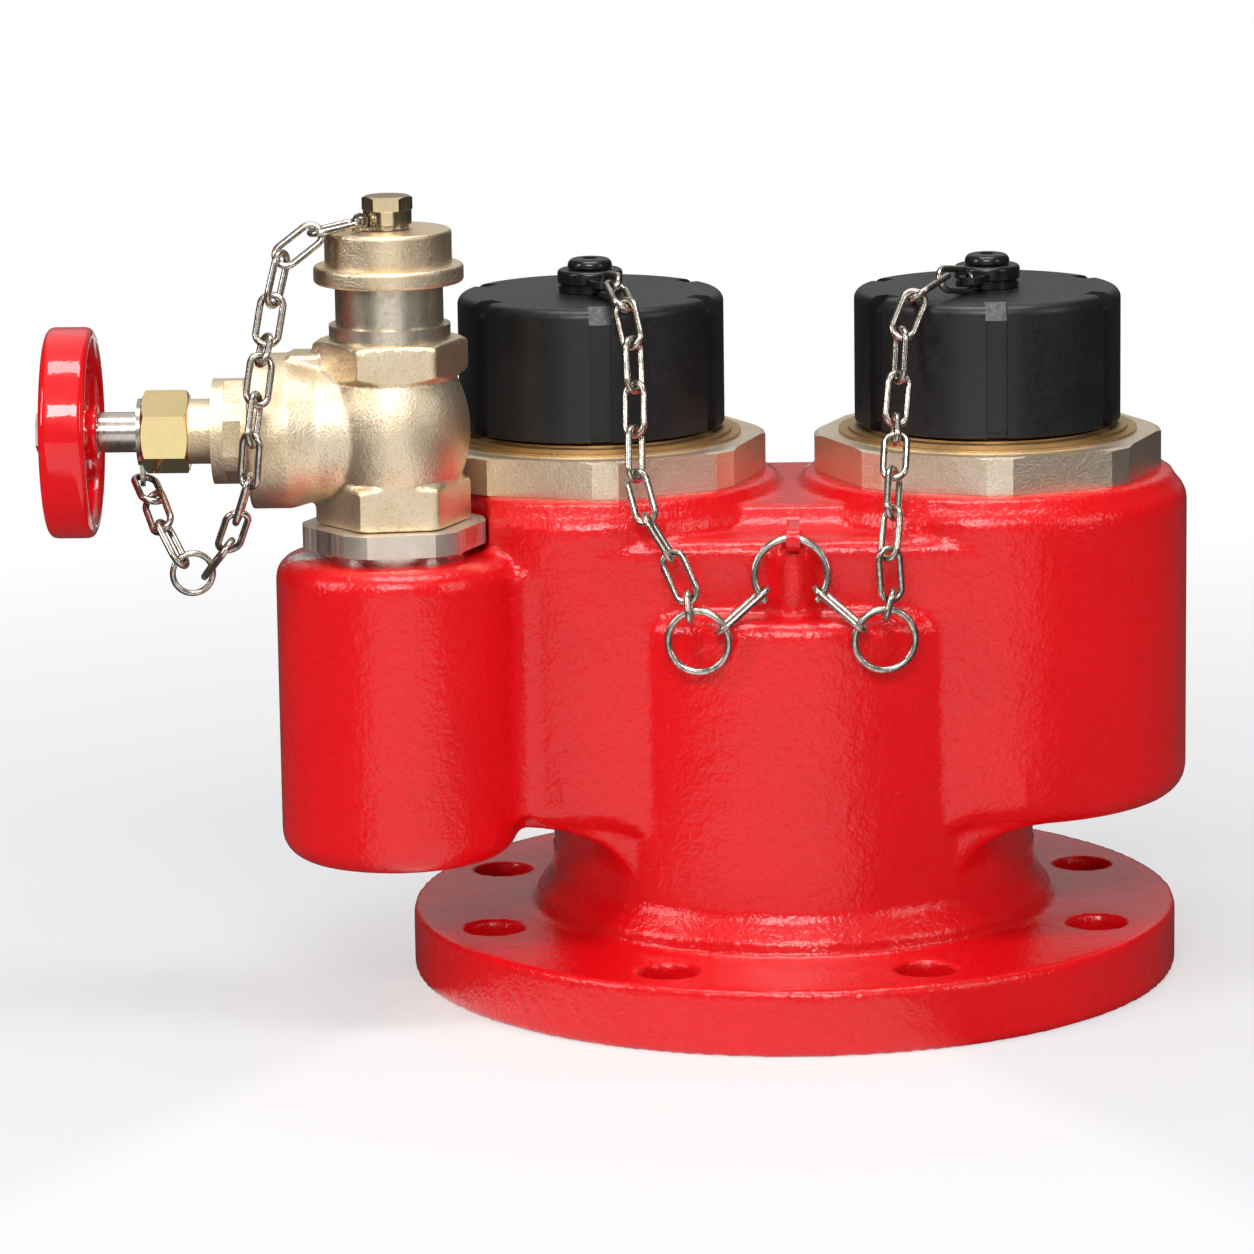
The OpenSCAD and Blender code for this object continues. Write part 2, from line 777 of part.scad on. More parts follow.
LEFT_JOINTS = [[-67.5, -19, 258.5], [-63, -34, 260], [-59.5, -49, 255], [-56.5, -58.5, 243], [-56, -63.5, 227.5],
    [-56, -69.5, 212.5], [-56, -74.5, 197], [-52, -80, 182.5], [-43.5, -83.5, 169], [-37.5, -87.5, 155.5],
    [-37, -90, 148.5]];
LEFT_ROLLS = [45, -35, 35, -50, 35, -55, 35, -65, 25, -80];
RIGHT_JOINTS = [[65.5, -18, 258.5], [55.5, -30, 260.5], [45.5, -41.5, 256], [40, -49, 244], [39, -52, 228],
    [37.5, -57.5, 213.5], [37.5, -61.5, 207.5], [36.5, -72.5, 196.5], [35.5, -82, 184], [34, -89, 170.5],
    [35, -88, 155.5], [33, -89.5, 148.5]];
RIGHT_ROLLS = [-25, 65, -5, 65, -25, 80, 10, -60, 45, -20, 80];
DRAIN_JOINTS = [[-154, -70.5, 289], [-168.5, -77.5, 286.5], [-180, -81.5, 278], [-183.5, -84.5, 263.5],
    [-185.5, -92, 250.5], [-187, -96, 243.5], [-188.5, -104, 231], [-190, -111.5, 218], [-191.5, -110.5, 203],
    [-196, -105.5, 189.5], [-200.5, -97.5, 177.5], [-208.5, -89.5, 167]];
DRAIN_ROLLS = [50, -10, -70, -5, 55, -25, -75, 35, 75, -55, 50];
TAIL_JOINTS = [[-217.5, -95, 171.5], [-224.5, -86.5, 183], [-229, -74, 190.5], [-233.5, -59.5, 195.5]];
TAIL_ROLLS = [60, -30, 25];

body_casting();
inlet_adaptor(-1);  // left_inlet_adaptor
inlet_adaptor(1);  // right_inlet_adaptor
adaptor_gasket(-1);  // left_adaptor_gasket
adaptor_gasket(1);  // right_adaptor_gasket
inlet_cap(-1);  // left_cap
inlet_cap(1);  // right_cap
cap_washer(-1);  // left_cap_washer
cap_washer(1);  // right_cap_washer
cap_collar(-1);  // left_cap_collar
cap_collar(1);  // right_cap_collar
cap_screw(-1);  // left_cap_screw
cap_screw(1);  // right_cap_screw
chain(LEFT_JOINTS, LEFT_ROLLS, 13);  // left_cap_chain
chain(RIGHT_JOINTS, RIGHT_ROLLS, 13);  // right_cap_chain
chain(DRAIN_JOINTS, DRAIN_ROLLS, 13.5);  // drain_chain
chain(TAIL_JOINTS, TAIL_ROLLS, 13.5);  // drain_tail_chain
drain_ring();
centre_ring();
side_ring(-1);  // left_side_ring
side_ring(1);  // right_side_ring
joining_link(-1);  // left_joining_link
joining_link(1);  // right_joining_link
clack(-1);  // left_clack
clack(1);  // right_clack
clack_seal(-1);  // left_clack_seal
clack_seal(1);  // right_clack_seal
clack_spring(-1);  // left_clack_spring
clack_spring(1);  // right_clack_spring
clack_nut(-1);  // left_clack_nut
clack_nut(1);  // right_clack_nut
drain_locknut();
drain_gasket();
drain_valve_body();
drain_bonnet();
gland_packing();
gland_nut();
chain_anchor();
drain_stem();
handwheel();
handwheel_nut();
disc_holder();
disc_seal();
outlet_adaptor();
outlet_cap();
outlet_cap_washer();
outlet_swivel();
outlet_cap_nut();
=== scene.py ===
import json
import math

import bmesh
import bpy
from mathutils import Matrix, Vector


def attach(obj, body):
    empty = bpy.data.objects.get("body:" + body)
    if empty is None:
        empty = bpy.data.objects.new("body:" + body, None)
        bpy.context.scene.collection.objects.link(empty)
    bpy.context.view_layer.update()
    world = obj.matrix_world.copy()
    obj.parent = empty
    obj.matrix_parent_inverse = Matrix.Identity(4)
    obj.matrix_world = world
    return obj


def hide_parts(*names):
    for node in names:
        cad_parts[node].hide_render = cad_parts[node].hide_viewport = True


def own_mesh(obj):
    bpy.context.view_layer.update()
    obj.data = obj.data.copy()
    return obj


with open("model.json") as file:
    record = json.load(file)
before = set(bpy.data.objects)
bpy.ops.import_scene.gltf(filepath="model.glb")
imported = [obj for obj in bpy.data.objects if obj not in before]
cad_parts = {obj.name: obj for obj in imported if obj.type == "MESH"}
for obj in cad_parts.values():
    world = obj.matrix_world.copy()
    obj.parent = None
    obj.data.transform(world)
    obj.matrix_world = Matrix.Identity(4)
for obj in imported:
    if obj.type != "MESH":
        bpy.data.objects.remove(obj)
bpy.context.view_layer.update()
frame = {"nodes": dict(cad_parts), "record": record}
NODES = frame["nodes"]
SCENE = bpy.context.scene

Z_AXIS = 2
DRAIN_AXIS = (-0.1435, -0.062, 0.0)  # a point on the drain valve's upright axis
ADAPTOR_TURNED_Z = 0.2004  # an inlet adaptor is turned above its octagon
ABOVE_ALL = 9.0  # a height over every piece
CHIP = (-0.1745, -0.068, 0.167)  # chipped paint on the boss, beside the locknut
CHIP_SIZE = 0.0075

# ---------------------------------------------------------------- helpers for materials

# sockets of a Mix node that mixes colours
MIX_A, MIX_B, MIX_RESULT = 6, 7, 2


class Graph:
    """A small wrapper that builds one procedural material."""

    def __init__(self, name, color, rough, metal=0.0, **sockets):
        self.mat = bpy.data.materials.new(name)
        self.mat.use_nodes = True
        self.nt = self.mat.node_tree
        self.shader = self.nt.nodes["Principled BSDF"]
        self.shader.inputs["Base Color"].default_value = (*color, 1)
        self.shader.inputs["Roughness"].default_value = rough
        self.shader.inputs["Metallic"].default_value = metal
        for key, value in sockets.items():
            self.shader.inputs[key.replace("_", " ")].default_value = value
        coords = self.nt.nodes.new("ShaderNodeTexCoord")
        self.pos = coords.outputs["Object"]
        self.color = None
        self.rough = None
        self.height = None

    def node(self, kind, **props):
        n = self.nt.nodes.new(kind)
        for key, value in props.items():
            setattr(n, key, value)
        return n

    def link(self, a, b):
        self.nt.links.new(a, b)

    def plug(self, socket, value):
        if hasattr(value, "links"):
            self.link(value, socket)
        elif isinstance(value, tuple):
            socket.default_value = (*value, 1)
        else:
            socket.default_value = value

    def noise(self, scale, detail=3.0, rough=0.5, stretch=None, distortion=0.0):
        n = self.node("ShaderNodeTexNoise")
        n.inputs["Scale"].default_value = scale
        n.inputs["Detail"].default_value = detail
        n.inputs["Roughness"].default_value = rough
        n.inputs["Distortion"].default_value = distortion
        self.link(self.stretched(stretch), n.inputs["Vector"])
        return n.outputs["Fac"]

    def stretched(self, scale):
        if scale is None:
            return self.pos
        m = self.node("ShaderNodeMapping")
        m.inputs["Scale"].default_value = scale
        self.link(self.pos, m.inputs["Vector"])
        return m.outputs["Vector"]

    def along(self, axis):
        """One coordinate of the surface's place: "X", "Y" or "Z"."""
        n = self.node("ShaderNodeSeparateXYZ")
        self.link(self.pos, n.inputs[0])
        return n.outputs[axis]

    def ramp(self, fac, *stops):
        """Colour from a list of (place, colour) stops."""
        n = self.node("ShaderNodeValToRGB")
        e = n.color_ramp.elements
        while len(e) < len(stops):
            e.new(0.5)
        for element, (place, color) in zip(e, stops):
            element.position = place
            element.color = (*color, 1)
        self.link(fac, n.inputs["Fac"])
        return n.outputs["Color"]

    def map(self, value, lo, hi, out_lo, out_hi):
        n = self.node("ShaderNodeMapRange")
        for i, v in enumerate((lo, hi, out_lo, out_hi)):
            n.inputs[i + 1].default_value = v
        self.link(value, n.inputs[0])
        return n.outputs[0]

    def math(self, op, a, b=0.0, clamp=False):
        n = self.node("ShaderNodeMath", operation=op, use_clamp=clamp)
        self.plug(n.inputs[0], a)
        self.plug(n.inputs[1], b)
        return n.outputs[0]

    def mix(self, fac, a, b):
        n = self.node("ShaderNodeMix", data_type="RGBA")
        self.plug(n.inputs[0], fac)
        self.plug(n.inputs[MIX_A], a)
        self.plug(n.inputs[MIX_B], b)
        return n.outputs[MIX_RESULT]

    def bump(self, height, strength, distance):
        """Adds a bump on top of those already there."""
        n = self.node("ShaderNodeBump")
        n.inputs["Strength"].default_value = strength
        n.inputs["Distance"].default_value = distance
        self.link(height, n.inputs["Height"])
        if self.height is not None:
            self.link(self.height, n.inputs["Normal"])
        self.height = n.outputs["Normal"]

    def radius(self, centre, axis):
        """Distance from an axis through a point, for turning marks."""
        s = self.node("ShaderNodeVectorMath", operation="SUBTRACT")
        self.link(self.pos, s.inputs[0])
        s.inputs[1].default_value = centre
        m = self.node("ShaderNodeVectorMath", operation="MULTIPLY")
        self.link(s.outputs[0], m.inputs[0])
        m.inputs[1].default_value = tuple(0.0 if i == axis else 1.0 for i in range(3))
        n = self.node("ShaderNodeVectorMath", operation="LENGTH")
        self.link(m.outputs[0], n.inputs[0])
        return n.outputs["Value"]

    def spot(self, centre, size, scale, wander):
        """A ragged patch round a point, 1 inside and 0 outside."""
        n = self.node("ShaderNodeVectorMath", operation="DISTANCE")
        self.link(self.pos, n.inputs[0])
        n.inputs[1].default_value = centre
        noise = self.math("SUBTRACT", self.noise(scale, 4, 0.65), 0.5)
        ragged = self.math("MULTIPLY", noise, wander * 4)
        return self.map(self.math("ADD", n.outputs["Value"], ragged), size * 0.86, size, 1, 0)

    def done(self):
        """Links what was built to the shader. A coat has a normal of its own."""
        if self.color is not None:
            self.link(self.color, self.shader.inputs["Base Color"])
        if self.rough is not None:
            self.link(self.rough, self.shader.inputs["Roughness"])
        if self.height is not None:
            self.link(self.height, self.shader.inputs["Normal"])
            self.link(self.height, self.shader.inputs["Coat Normal"])
        return self.mat


def red_cast():
    """Gloss enamel over a sand casting: soft waves, fine orange peel with painted shade in its hollows,
    and one chipped spot.
    """
    g = Graph(
        "red_cast", (0.76, 0.004, 0.007), 0.4,
        Coat_Weight=0.85, Coat_Roughness=0.07, Specular_IOR_Level=0.12,
    )
    g.bump(g.noise(38, 3, 0.5), 0.3, 0.0016)
    g.bump(g.noise(190, 3, 0.55), 0.5, 0.0009)
    g.bump(g.noise(620, 3, 0.6), 0.7, 0.0004)
    patches = g.map(g.noise(9, 4, 0.6), 0.35, 0.7, 0, 1)
    paint = g.mix(patches, (0.78, 0.004, 0.007), (0.68, 0.003, 0.006))
    # painted shade: the red darkens in the hollows of the fine orange peel, on the same noise as its
    # finest bump
    peel_hollow_shade = g.map(g.noise(620, 3, 0.6), 0.3, 0.62, 0.35, 0)
    paint = g.mix(peel_hollow_shade, paint, (0.55, 0.002, 0.004))
    chip = g.spot(CHIP, CHIP_SIZE, 430, 0.004)
    bare = g.mix(g.noise(900, 3, 0.7), (0.62, 0.50, 0.46), (0.86, 0.80, 0.76))
    g.color = g.mix(chip, paint, bare)
    gloss = g.map(g.noise(60, 4, 0.6), 0.3, 0.7, 0.24, 0.4)
    g.rough = g.mix(chip, gloss, (0.62, 0.62, 0.62))
    return g.done()


def red_wheel():
    """Smooth poured gloss on the handwheel."""
    g = Graph(
        "red_wheel", (0.76, 0.004, 0.008), 0.35,
        Coat_Weight=1.0, Coat_Roughness=0.04, Specular_IOR_Level=0.12,
    )
    g.rough = g.map(g.noise(120, 3), 0.3, 0.7, 0.18, 0.32)
    patches = g.map(g.noise(40, 3), 0.35, 0.7, 0, 1)
    g.color = g.mix(patches, (0.78, 0.004, 0.008), (0.66, 0.003, 0.006))
    g.bump(g.noise(70, 2, 0.5), 0.2, 0.0009)
    g.bump(g.noise(420, 3, 0.5), 0.16, 0.00025)
    return g.done()


def cast_brass(name, base, dark, pale, turned_from=ABOVE_ALL):
    """Sand cast brass: fine grain, cloudy tone, dull specks; turned and golden above a height."""
    g = Graph(name, base, 0.42, 1.0)
    grain = g.noise(1150, 3, 0.6, distortion=0.3)
    tone = g.noise(45, 5, 0.6)
    color = g.ramp(tone, (0.35, base), (0.66, pale))
    color = g.mix(g.map(grain, 0.56, 0.72, 0, 0.8), color, dark)
    turned = g.map(g.along("Z"), turned_from, turned_from + 0.0003, 0, 1)
    g.color = g.mix(turned, color, (0.60, 0.40, 0.19))
    g.rough = g.map(grain, 0.3, 0.7, 0.34, 0.5)
    g.bump(g.noise(240, 3, 0.5), 0.3, 0.0006)
    g.bump(grain, 0.6, 0.00035)
    return g.done()


def turned_brass(name, base, rough, lines):
    """Turning marks round the drain valve's upright axis."""
    g = Graph(name, base, rough, 1.0)
    ring = g.radius(DRAIN_AXIS, Z_AXIS)
    n = g.node("ShaderNodeTexNoise", noise_dimensions="1D")
    n.inputs["Scale"].default_value = lines
    n.inputs["Detail"].default_value = 2
    g.link(ring, n.inputs["W"])
    tone = g.noise(70, 4, 0.6)
    g.color = g.mix(g.map(tone, 0.35, 0.7, 0, 0.6), base, tuple(c * 0.72 for c in base))
    g.rough = g.map(n.outputs["Fac"], 0.3, 0.7, rough * 0.75, rough * 1.5)
    g.bump(n.outputs["Fac"], 0.12, 0.0002)
    return g.done()


def polished_brass():
    g = Graph("polished_brass", (0.92, 0.72, 0.36), 0.14, 1.0)
    g.rough = g.map(g.noise(300, 3), 0.3, 0.7, 0.1, 0.2)
    g.bump(g.noise(1500, 2), 0.06, 0.0001)
    return g.done()


def pale_turned():
    """Pale nipple under the outlet cap, with a sandy tone."""
    g = Graph("pale_turned", (0.62, 0.56, 0.46), 0.38, 1.0)
    tone = g.noise(380, 4, 0.65, distortion=0.5)
    sand = (0.3, (0.62, 0.52, 0.38)), (0.55, (0.80, 0.72, 0.58)), (0.75, (0.90, 0.84, 0.73))
    g.color = g.ramp(tone, *sand)
    g.rough = g.map(tone, 0.3, 0.7, 0.42, 0.3)
    g.bump(tone, 0.3, 0.0003)
    return g.done()


def black_moulded(name, rough):
    g = Graph(name, (0.01, 0.01, 0.011), rough, 0.0)
    g.rough = g.map(g.noise(500, 3, 0.6), 0.3, 0.7, rough * 0.8, rough * 1.25)
    patches = g.map(g.noise(30, 3), 0.4, 0.7, 0, 1)
    g.color = g.mix(patches, (0.008, 0.008, 0.009), (0.013, 0.013, 0.014))
    g.bump(g.noise(1300, 2, 0.5), 0.14, 0.0002)
    return g.done()


def chain_steel():
    """Galvanised wire with dull hollows."""
    g = Graph("chain_steel", (0.60, 0.54, 0.47), 0.25, 1.0)
    tone = g.noise(420, 3, 0.6)
    zinc = (0.3, (0.24, 0.19, 0.15)), (0.5, (0.50, 0.46, 0.40)), (0.7, (0.66, 0.63, 0.57))
    g.color = g.ramp(tone, *zinc)
    g.rough = g.map(tone, 0.3, 0.7, 0.34, 0.18)
    g.bump(g.noise(700, 3, 0.5), 0.2, 0.0003)
    return g.done()


def bright_steel():
    """Turned stem, with lines round its length."""
    g = Graph("bright_steel", (0.66, 0.61, 0.54), 0.2, 1.0)
    lines = g.noise(30, 3, 0.6, stretch=(60, 1, 1))
    g.rough = g.map(lines, 0.3, 0.7, 0.14, 0.3)
    g.bump(lines, 0.08, 0.0002)
    return g.done()


def plain(name, color, rough, metal=0.0, scale=300.0, bump=0.15):
    g = Graph(name, color, rough, metal)
    tone = g.noise(scale, 3, 0.6)
    g.color = g.mix(tone, tuple(c * 0.8 for c in color), tuple(min(1, c * 1.2) for c in color))
    g.bump(tone, bump, 0.0003)
    return g.done()


M = {
    "red": red_cast(),
    "wheel": red_wheel(),
    "cast": cast_brass("cast_brass", (0.84, 0.66, 0.43), (0.60, 0.43, 0.25), (0.93, 0.80, 0.60)),
    "adaptor": cast_brass(
        "adaptor_brass", (0.86, 0.71, 0.51), (0.58, 0.42, 0.26), (0.94, 0.84, 0.69), ADAPTOR_TURNED_Z,
    ),
    "turned": turned_brass("turned_brass", (0.86, 0.68, 0.42), 0.24, 2600),
    "nickel": turned_brass("nickel_brass", (0.84, 0.77, 0.66), 0.44, 1800),
    "gland": polished_brass(),
    "pale": pale_turned(),
    "cap": black_moulded("cap_black", 0.38),
    "collar": black_moulded("collar_black", 0.24),
    "chain": chain_steel(),
    "stem": bright_steel(),
    "fibre": plain("fibre", (0.2, 0.07, 0.05), 0.8),
    "rubber": plain("rubber", (0.02, 0.02, 0.02), 0.7),
    "spring": plain("spring_wire", (0.6, 0.6, 0.6), 0.3, 1.0, 500, 0.05),
}

SLOT_MATERIAL = {
    "red_paint": "red",
    "wheel_paint": "wheel",
    "cast_brass": "cast",
    "brass": "turned",
    "polished_brass": "gland",
    "pale_brass": "pale",
    "fibre": "fibre",
    "rubber": "rubber",
    "black_cap": "cap",
    "black_collar": "collar",
    "black_screw": "collar",
    "chain_steel": "chain",
    "spring_steel": "spring",
    "stem_steel": "stem",
}


def dress(obj, key):
    obj.data.materials.clear()
    obj.data.materials.append(M[key])


for part in frame["record"]["subparts"]:
    dress(NODES[part["node"]], SLOT_MATERIAL[part["material_slot"]])
for side in ("left", "right"):
    dress(NODES[side + "_inlet_adaptor"], "adaptor")
dress(NODES["drain_locknut"], "nickel")

# ---------------------------------------------------------------- helpers for meshes


def placed(name, mesh, body, key):
    """A smooth piece of the object from a finished mesh."""
    obj = bpy.data.objects.new(name, mesh)
    SCENE.collection.objects.link(obj)
    mesh.shade_smooth()
    dress(obj, key)
    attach(obj, body)
    return obj


def evaluated(obj):
    """The mesh with its modifiers applied, and no modifier left."""
    depsgraph = bpy.context.evaluated_depsgraph_get()
    mesh = bpy.data.meshes.new_from_object(obj.evaluated_get(depsgraph))
    obj.modifiers.clear()
    return mesh


def softened(name, node, body, key, voxel, rounds, extras=()):
    """A copy of a CAD node whose sharp inner and outer corners are blended like a casting's."""
    obj = bpy.data.objects.new(name, NODES[node].data.copy())
    SCENE.collection.objects.link(obj)
    if extras:
        bm = bmesh.new()
        bm.from_mesh(obj.data)
        for build in extras:
            build(bm)
        bm.to_mesh(obj.data)
        bm.free()
    modifier = obj.modifiers.new("remesh", "REMESH")
    modifier.mode = "VOXEL"
    modifier.voxel_size = voxel
    smooth = obj.modifiers.new("smooth", "SMOOTH")
    smooth.iterations = rounds
    smooth.factor = 0.5
    mesh = evaluated(obj)
    triangles = 2 * len(mesh.polygons)
    if triangles > MOST_TRIANGLES:
        obj.data = mesh
        reduce = obj.modifiers.new("reduce", "DECIMATE")
        reduce.ratio = MOST_TRIANGLES / triangles
        mesh = evaluated(obj)
    obj.data = mesh
    mesh.shade_smooth()
    dress(obj, key)
    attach(obj, body)
    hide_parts(node)
    return obj


# ---------------------------------------------------------------- castings with blended corners

MOST_TRIANGLES = 190000

# (distance from the middle, lowest point) along the arch's edge
ARCH = [
    (0.046, 0.0550), (0.050, 0.0575), (0.054, 0.0605), (0.059, 0.0635),
    (0.065, 0.0655), (0.073, 0.0668), (0.084, 0.0672),
]
WEB_FACE, WEB_EDGE, WEB_BACK, WEB_TOP = 0.0731, 0.007, 0.030, 0.085

# the concave flare's arc: its radius, and its centre's distance from the riser's axis and height
FLARE, FLARE_RADIUS, FLARE_LOW = 0.0225, 0.1125, 0.043
FLARE_ENDS, FLARE_FADE = 0.066, 0.016  # how far out in Y it goes, and the last stretch of that
FLARE_TIGHT = 1.25

LUG_FRONT = -0.0765  # the casting's wall behind the chain eye, which is a piece of its own
LUG_LOW = 0.1695


def underside_web(side, front):
    """Arched web where the chamber's wall runs down into the neck, one of four."""
    inner = WEB_FACE - WEB_EDGE

    def build(bm):
        rings = []
        for x, low in ARCH:
            section = [(WEB_FACE, WEB_TOP), (WEB_FACE, low + WEB_EDGE)]
            for k in range(1, 6):
                a = math.radians(15 * k)
                y = inner + WEB_EDGE * math.cos(a)
                section.append((y, low + WEB_EDGE - WEB_EDGE * math.sin(a)))
            section += [(inner, low), (WEB_BACK, low), (WEB_BACK, WEB_TOP)]
            rings.append([bm.verts.new((side * x, front * y, z)) for y, z in section])
        faces = [rings[0], rings[-1][::-1]]
        for a, b in zip(rings, rings[1:]):
            for i in range(len(a)):
                j = (i + 1) % len(a)
                faces.append([a[i], b[i], b[j], a[j]])
        made = [bm.faces.new(f) for f in faces]
        bmesh.ops.recalc_face_normals(bm, faces=made)
    return build


def tighten_flare(co):
    """Draws the concave flare under the chambers into the corner between neck and underside."""
    radius = math.hypot(co.x, co.y)
    aside, above = FLARE_RADIUS - radius, co.z - FLARE_LOW
    fade = min(1, (FLARE_ENDS - abs(co.y)) / FLARE_FADE)
    reach = math.hypot(aside, above)
    if not (0 < aside < FLARE and 0 < above < FLARE and fade > 0 and reach > 0.6 * FLARE):
        return
    stretch = 1 + fade * (min(reach / max(aside, above), FLARE_TIGHT) - 1)
    co.z = FLARE_LOW + above * stretch
    scale = (FLARE_RADIUS - aside * stretch) / radius
    co.x *= scale
    co.y *= scale


def flatten_lug(co):
    """Leaves the softened casting's wall flush where the crisp chain eye stands."""
    if abs(co.x) < 0.0045 and co.z > LUG_LOW and co.y < LUG_FRONT:
        co.y = LUG_FRONT


def lug_piece():
    """The chain eye keeps its crisp shape, cut from the casting's own surface."""
    bm = bmesh.new()
    bm.from_mesh(NODES["body_casting"].data)
    away = []
    for face in bm.faces:
        at = face.calc_center_median()
        if not (abs(at.x) < 0.0028 and at.y < -0.0735 and LUG_LOW < at.z < 0.1805):
            away.append(face)
    bmesh.ops.delete(bm, geom=away, context="FACES")
    mesh = bpy.data.meshes.new("chain_eye")
    bm.to_mesh(mesh)
    bm.free()
    placed("chain_eye", mesh, "fixed", "red")


webs = [underside_web(side, front) for side in (-1, 1) for front in (-1, 1)]
casting = softened("casting", "body_casting", "fixed", "red", 0.0017, 2, webs)
for v in casting.data.vertices:
    flatten_lug(v.co)
    tighten_flare(v.co)
lug_piece()
softened("valve_casting", "drain_valve_body", "fixed", "cast", 0.0009, 4)
softened("wheel_casting", "handwheel", "wheel", "wheel", 0.0007, 4)

# ---------------------------------------------------------------- springs, each a copy that rides on its check valve

for side in ("left", "right"):
    node = side + "_clack_spring"
    coil = placed(side + "_check_coil", NODES[node].data.copy(), side + "_check", "spring")
    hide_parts(node)
    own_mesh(coil)

# ---------------------------------------------------------------- stage, light and camera

WORLD_LEVEL = 0.32
FLOOR_HALF = 9
PAPER_EDGE = (0.44, 0.54)  # the paper's edges, as a share of the distance in front
PAPER_MIDDLE = 0.06
FLOOR_SHINE = 0.93  # how much of what gloss sees of the floor is the paper's own light
FADE_FROM, FADE_TO = 0.25, 0.9  # distances over which the floor goes to white


def light_mask(nt, *kinds):
    """1 for the kinds of ray named, 0 for all others."""
    path = nt.nodes.new("ShaderNodeLightPath")
    value = path.outputs[kinds[0]]
    for kind in kinds[1:]:
        top = nt.nodes.new("ShaderNodeMath")
        top.operation = "MAXIMUM"
        nt.links.new(value, top.inputs[0])
        nt.links.new(path.outputs[kind], top.inputs[1])
        value = top.outputs[0]
    return value


def floor():
    """A wide pale floor that fades to white, with a run of paper in front that gloss reflects."""
    bm = bmesh.new()
    bmesh.ops.create_grid(bm, x_segments=2, y_segments=2, size=FLOOR_HALF)
    mesh = bpy.data.meshes.new("floor")
    bm.to_mesh(mesh)
    bm.free()
    obj = bpy.data.objects.new("floor", mesh)
    SCENE.collection.objects.link(obj)
    g = Graph("floor_pale", (0.8, 0.8, 0.8), 0.7)
    nt = g.nt
    aside = g.math("ABSOLUTE", g.math("ADD", g.along("X"), PAPER_MIDDLE))
    in_front = g.math("MAXIMUM", g.math("MULTIPLY", g.along("Y"), -1), 0)
    paper = g.map(g.math("DIVIDE", aside, g.math("ADD", in_front, 0.1)), *PAPER_EDGE, 1, 0)
    g.color = g.mix(paper, (0.66, 0.66, 0.67), (0.8, 0.8, 0.8))
    seen = light_mask(nt, "Is Camera Ray", "Is Transmission Ray")
    shine = light_mask(nt, "Is Glossy Ray")
    emission = g.node("ShaderNodeEmission")
    glow = g.math("MULTIPLY", shine, g.map(paper, 0, 1, 0.02, 1))
    g.link(g.math("ADD", seen, glow, clamp=True), emission.inputs["Strength"])
    far = g.map(g.radius((-0.02, 0, 0), Z_AXIS), FADE_FROM, FADE_TO, 0.5, 1)
    weight = g.math("ADD", g.math("MULTIPLY", far, seen), g.math("MULTIPLY", shine, FLOOR_SHINE))
    blend = g.node("ShaderNodeMixShader")
    g.link(weight, blend.inputs[0])
    g.link(g.shader.outputs[0], blend.inputs[1])
    g.link(emission.outputs[0], blend.inputs[2])
    g.link(blend.outputs[0], nt.nodes["Material Output"].inputs["Surface"])
    obj.data.materials.append(g.done())


def ranged(nt, value, lo, hi, out_lo, out_hi):
    n = nt.nodes.new("ShaderNodeMapRange")
    for i, v in enumerate((lo, hi, out_lo, out_hi)):
        n.inputs[i + 1].default_value = v
    nt.links.new(value, n.inputs[0])
    return n.outputs[0]


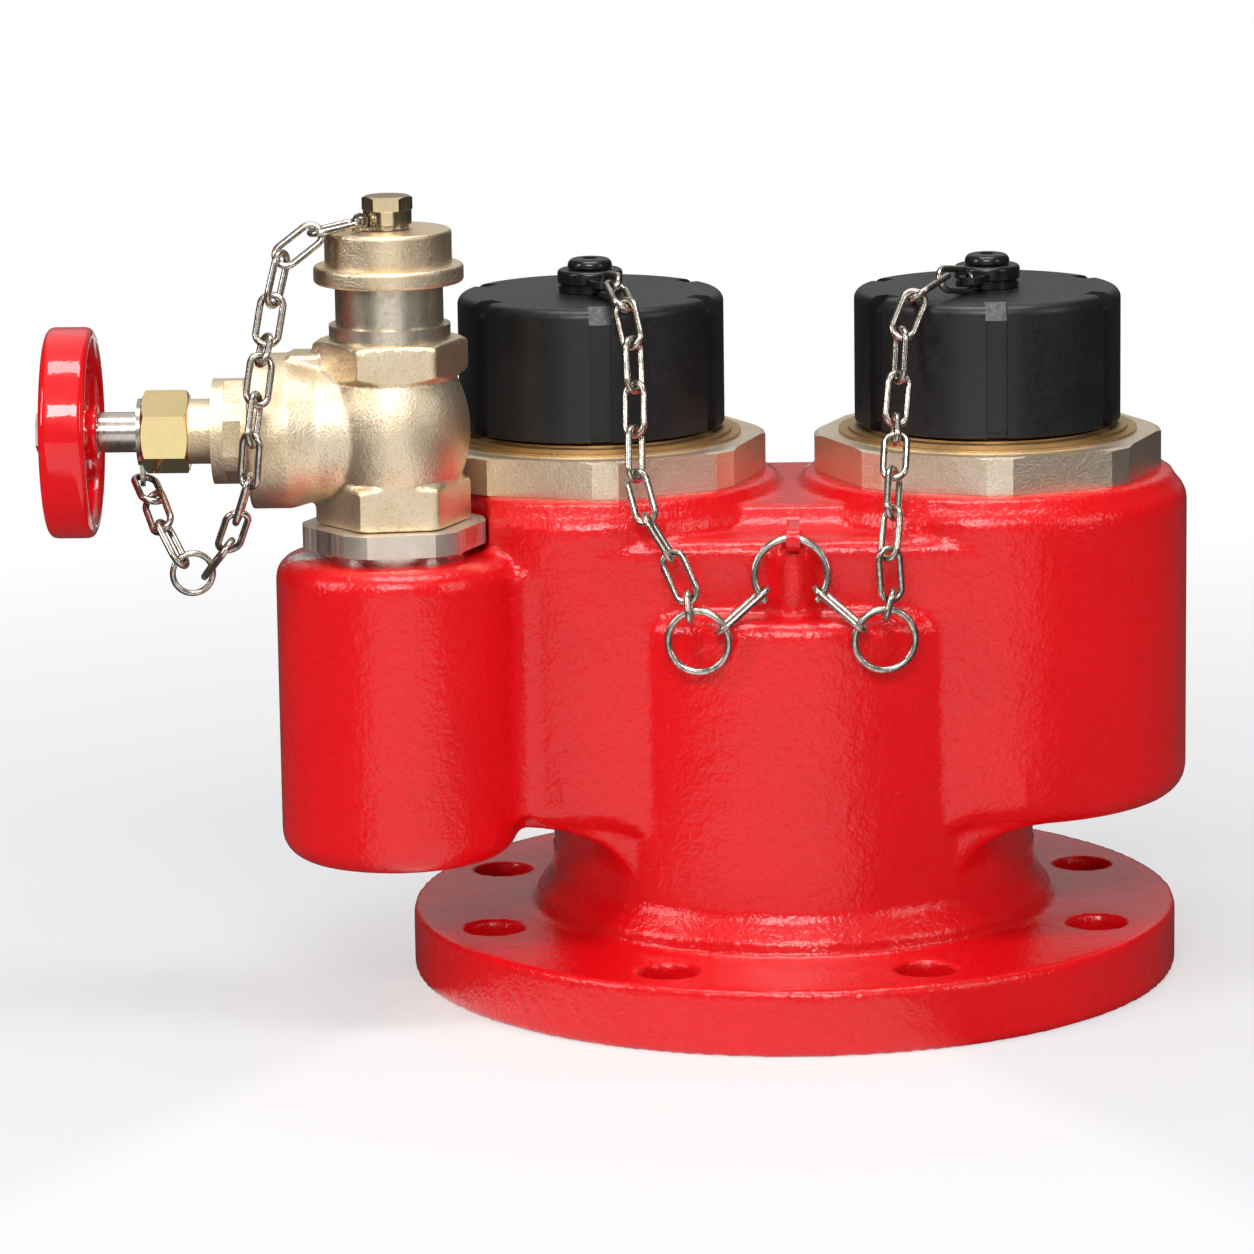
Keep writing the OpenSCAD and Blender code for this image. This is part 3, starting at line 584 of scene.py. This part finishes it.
def studio():
    """White to the camera, soft light on the object, and for gloss a pale band with dark sides."""
    world = bpy.data.worlds.new("studio")
    SCENE.world = world
    world.use_nodes = True
    nt = world.node_tree
    background = nt.nodes["Background"]
    background.inputs["Color"].default_value = (1, 1, 1, 1)
    coords = nt.nodes.new("ShaderNodeTexCoord")
    split = nt.nodes.new("ShaderNodeSeparateXYZ")
    nt.links.new(coords.outputs["Generated"], split.inputs[0])
    aside = nt.nodes.new("ShaderNodeMath")
    aside.operation = "ABSOLUTE"
    nt.links.new(split.outputs["X"], aside.inputs[0])
    sky = nt.nodes.new("ShaderNodeMath")
    sky.operation = "MULTIPLY"
    nt.links.new(ranged(nt, aside.outputs[0], 0.3, 0.55, 0.6, 0.06), sky.inputs[0])
    nt.links.new(ranged(nt, split.outputs["Z"], 0.2, 0.5, 0.35, 1.2), sky.inputs[1])
    strength = WORLD_LEVEL
    for mask, level in (
        (light_mask(nt, "Is Glossy Ray"), sky.outputs[0]),
        (light_mask(nt, "Is Camera Ray", "Is Transmission Ray"), 1.0),
    ):
        step = nt.nodes.new("ShaderNodeMix")
        nt.links.new(mask, step.inputs["Factor"])
        for socket, value in ((step.inputs["A"], strength), (step.inputs["B"], level)):
            if hasattr(value, "links"):
                nt.links.new(value, socket)
            else:
                socket.default_value = value
        strength = step.outputs["Result"]
    nt.links.new(strength, background.inputs["Strength"])


def lamp(name, place, target, power, width, height):
    data = bpy.data.lights.new(name, "AREA")
    data.shape = "RECTANGLE"
    data.size = width
    data.size_y = height
    data.energy = power
    obj = bpy.data.objects.new(name, data)
    SCENE.collection.objects.link(obj)
    obj.location = place
    obj.rotation_euler = (Vector(target) - Vector(place)).to_track_quat("-Z", "Y").to_euler()


floor()
studio()
lamp("front", (-0.12, -1.85, 1.35), (-0.02, 0, 0.12), 20, 0.9, 0.45)
lamp("top", (0, -0.2, 1.5), (0, 0, 0.12), 10, 1.0, 0.35)
lamp("left", (-1.4, -0.7, 0.9), (-0.05, 0, 0.13), 8, 0.35, 0.8)
lamp("right", (1.4, -0.9, 0.8), (0, 0, 0.13), 4, 0.35, 0.8)

IMAGE_PX, SENSOR_MM = 1254, 36
FOCAL_PX, YAW, PITCH, ROLL = 5889.06, 0.019, 0.198, -0.01424
PLACE = Vector((-0.02036, -2.1496, 0.5585))

forward = Vector((-math.sin(YAW) * math.cos(PITCH), math.cos(YAW) * math.cos(PITCH), -math.sin(PITCH)))
level_right = Vector((math.cos(YAW), math.sin(YAW), 0))
level_up = level_right.cross(forward)
right = math.cos(ROLL) * level_right + math.sin(ROLL) * level_up
up = -math.sin(ROLL) * level_right + math.cos(ROLL) * level_up
camera_data = bpy.data.cameras.new("camera")
camera_data.sensor_width = SENSOR_MM
camera_data.lens = SENSOR_MM * FOCAL_PX / IMAGE_PX
camera = bpy.data.objects.new("camera", camera_data)
SCENE.collection.objects.link(camera)
camera.matrix_world = Matrix((
    (right.x, up.x, -forward.x, PLACE.x),
    (right.y, up.y, -forward.y, PLACE.y),
    (right.z, up.z, -forward.z, PLACE.z),
    (0, 0, 0, 1),
))
SCENE.camera = camera
SCENE.view_settings.view_transform = "Standard"
